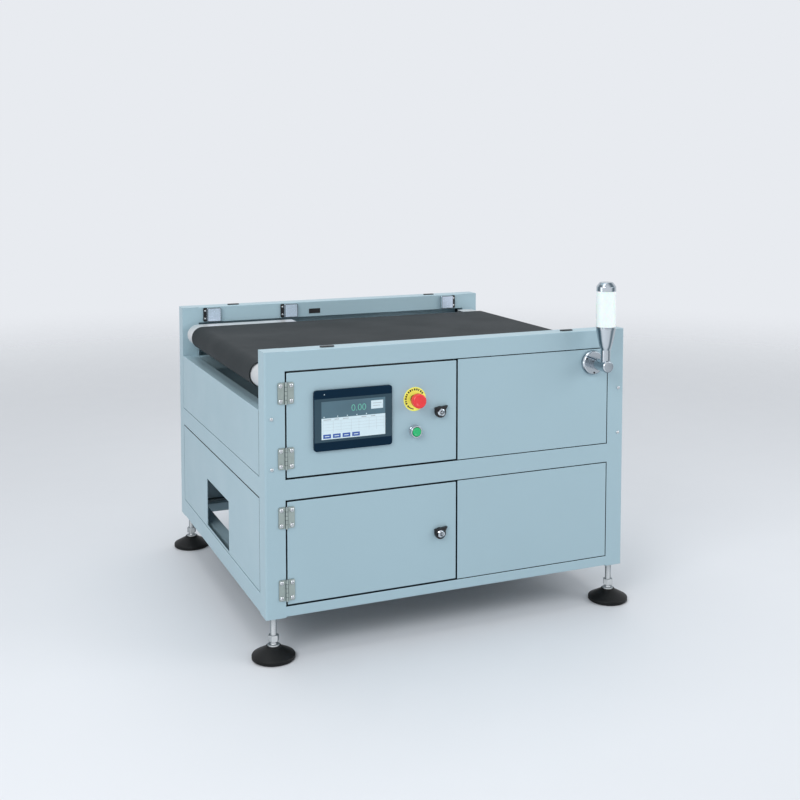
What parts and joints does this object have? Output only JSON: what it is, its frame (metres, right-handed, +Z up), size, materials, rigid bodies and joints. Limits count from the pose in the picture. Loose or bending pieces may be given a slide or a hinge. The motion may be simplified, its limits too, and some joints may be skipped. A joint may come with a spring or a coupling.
{
  "type": "checkweigher",
  "caption": "Belt checkweigher on a blue-grey sheet metal cabinet with guide rails, hinged doors, touch panel, emergency stop, signal lamp and levelling feet.",
  "frame": {"origin": "middle of the machine's footprint at floor level, under the feet", "axes": "+X along the belt travel, -Y towards the control doors, +Z up"},
  "size_m": [1.056, 1.0475, 0.885],
  "materials": {
    "cabinet_paint": "light blue-grey powder coat",
    "galvanised": "galvanised sheet",
    "hinge_zinc": "zinc plated",
    "steel_pin": "bright pin",
    "reflector_face": "silvery prismatic face",
    "black_plastic": "black moulded",
    "cell_alloy": "anodised bar",
    "conveyor_steel": "brushed stainless sheet",
    "bearing_iron": "grey cast housing",
    "belt_rubber": "dark grey fine textured belt",
    "strap_rubber": "black toothed belt",
    "motor_paint": "dark grey",
    "drive_plastic": "light grey case",
    "controller_plastic": "grey case",
    "drum_steel": "turned steel",
    "pulley_alloy": "machined",
    "hmi_plastic": "blue-black front",
    "screen_glass": "touch screen",
    "signal_yellow": "yellow plate",
    "signal_red": "red mushroom head",
    "signal_green": "green cap",
    "button_chrome": "bright ring",
    "lock_chrome": "bright plug",
    "lamp_chrome": "polished",
    "lamp_white": "opal lens",
    "foot_steel": "zinc plated",
    "foot_rubber": "black pad"
  },
  "bodies": {
    "cabinet": {"corner_posts": "cabinet_paint", "frame_rails": "cabinet_paint", "top_rails": "cabinet_paint", "support_rails": "cabinet_paint", "mid_shelf": "galvanised", "upper_end_panels": "cabinet_paint", "lower_end_panels": "cabinet_paint", "front_panels": "cabinet_paint", "rear_panels": "cabinet_paint", "hinge_frame_leaves": "hinge_zinc", "hinge_pins": "steel_pin", "panel_screws": "hinge_zinc", "reflectors": "reflector_face", "reflector_brackets": "black_plastic", "photo_sensors": "black_plastic", "rail_plugs": "black_plastic", "load_cells": "cell_alloy", "conveyor_frame": "conveyor_steel", "slider_bed": "conveyor_steel", "nose_covers": "conveyor_steel", "bearing_blocks": "bearing_iron", "belt": "belt_rubber", "timing_belt": "strap_rubber", "motor": "motor_paint", "motor_drive": "drive_plastic", "controller": "controller_plastic", "cable_gland": "black_plastic", "lamp_flange": "lamp_chrome"},
    "upper_door": {"upper_door": "cabinet_paint", "upper_hinge_leaves": "hinge_zinc", "hmi_case": "hmi_plastic", "hmi_screen": "screen_glass", "estop_plate": "signal_yellow", "estop_base": "black_plastic", "button_base": "button_chrome", "upper_lock_base": "black_plastic"},
    "upper_lock": {"upper_lock_core": "lock_chrome"},
    "estop_plunger": {"estop_stem": "signal_red"},
    "estop_knob": {"estop_head": "signal_red"},
    "start_key": {"start_button": "signal_green"},
    "lower_door": {"lower_door": "cabinet_paint", "lower_hinge_leaves": "hinge_zinc", "lower_lock_base": "black_plastic"},
    "lower_lock": {"lower_lock_core": "lock_chrome"},
    "drive_drum": {"drive_roller": "drum_steel", "drive_pulley": "pulley_alloy"},
    "idler_drum": {"idler_roller": "drum_steel"},
    "motor_rotor": {"motor_pulley": "pulley_alloy"},
    "lamp": {"lamp_arm": "lamp_chrome", "lamp_socket": "lamp_chrome", "lamp_lens": "lamp_white", "lamp_cap": "lamp_chrome"},
    "front_left_foot": {"front_left_stud": "foot_steel", "front_left_pad": "foot_rubber"},
    "front_right_foot": {"front_right_stud": "foot_steel", "front_right_pad": "foot_rubber"},
    "rear_left_foot": {"rear_left_stud": "foot_steel", "rear_left_pad": "foot_rubber"},
    "rear_right_foot": {"rear_right_stud": "foot_steel", "rear_right_pad": "foot_rubber"}
  },
  "joints": [
    {"name": "upper_door_hinge", "type": "hinge", "parent": "cabinet", "child": "upper_door", "pos_m": [-0.448, -0.43775, 0.5715], "axis": [0, 0, -1], "range_deg": [0, 120]},
    {"name": "lower_door_hinge", "type": "hinge", "parent": "cabinet", "child": "lower_door", "pos_m": [-0.448, -0.43775, 0.2615], "axis": [0, 0, -1], "range_deg": [0, 120]},
    {"name": "upper_lock_turn", "type": "hinge", "parent": "upper_door", "child": "upper_lock", "pos_m": [-0.046, -0.43425, 0.5715], "axis": [0, -1, 0], "range_deg": [0, 90]},
    {"name": "lower_lock_turn", "type": "hinge", "parent": "lower_door", "child": "lower_lock", "pos_m": [-0.046, -0.43425, 0.2615], "axis": [0, -1, 0], "range_deg": [0, 90]},
    {"name": "estop_press", "type": "slide", "parent": "upper_door", "child": "estop_plunger", "axis": [0, 1, 0], "range_m": [0, 0.005]},
    {"name": "estop_twist", "type": "hinge", "parent": "estop_plunger", "child": "estop_knob", "pos_m": [-0.114, -0.45925, 0.6085], "axis": [0, 1, 0], "range_deg": [0, 45], "stiffness_Nm_per_rad": 0.05},
    {"name": "start_press", "type": "slide", "parent": "upper_door", "child": "start_key", "axis": [0, 1, 0], "range_m": [0, 0.003], "stiffness_N_per_m": 1500},
    {"name": "belt_drive", "type": "hinge", "parent": "cabinet", "child": "drive_drum", "pos_m": [0.462, 0.03075, 0.671], "axis": [0, 1, 0], "continuous": true},
    {"name": "idler_spin", "type": "hinge", "parent": "cabinet", "child": "idler_drum", "pos_m": [-0.462, 0.03075, 0.671], "axis": [0, 1, 0], "continuous": true},
    {"name": "motor_spin", "type": "hinge", "parent": "cabinet", "child": "motor_rotor", "pos_m": [0.33, 0.03075, 0.535], "axis": [0, 1, 0], "continuous": true},
    {"name": "lamp_fold", "type": "hinge", "parent": "cabinet", "child": "lamp", "pos_m": [0.4, -0.46925, 0.665], "axis": [0, 1, 0], "range_deg": [-90, 90]},
    {"name": "front_left_level", "type": "slide", "parent": "cabinet", "child": "front_left_foot", "axis": [0, 0, 1], "range_m": [-0.03, 0.04]},
    {"name": "front_right_level", "type": "slide", "parent": "cabinet", "child": "front_right_foot", "axis": [0, 0, 1], "range_m": [-0.03, 0.04]},
    {"name": "rear_left_level", "type": "slide", "parent": "cabinet", "child": "rear_left_foot", "axis": [0, 0, 1], "range_m": [-0.03, 0.04]},
    {"name": "rear_right_level", "type": "slide", "parent": "cabinet", "child": "rear_right_foot", "axis": [0, 0, 1], "range_m": [-0.03, 0.04]}
  ],
  "couplings": [
    {"joint": "idler_spin", "follows": "belt_drive", "ratio": 1},
    {"joint": "motor_spin", "follows": "belt_drive", "ratio": 1.4}
  ]
}
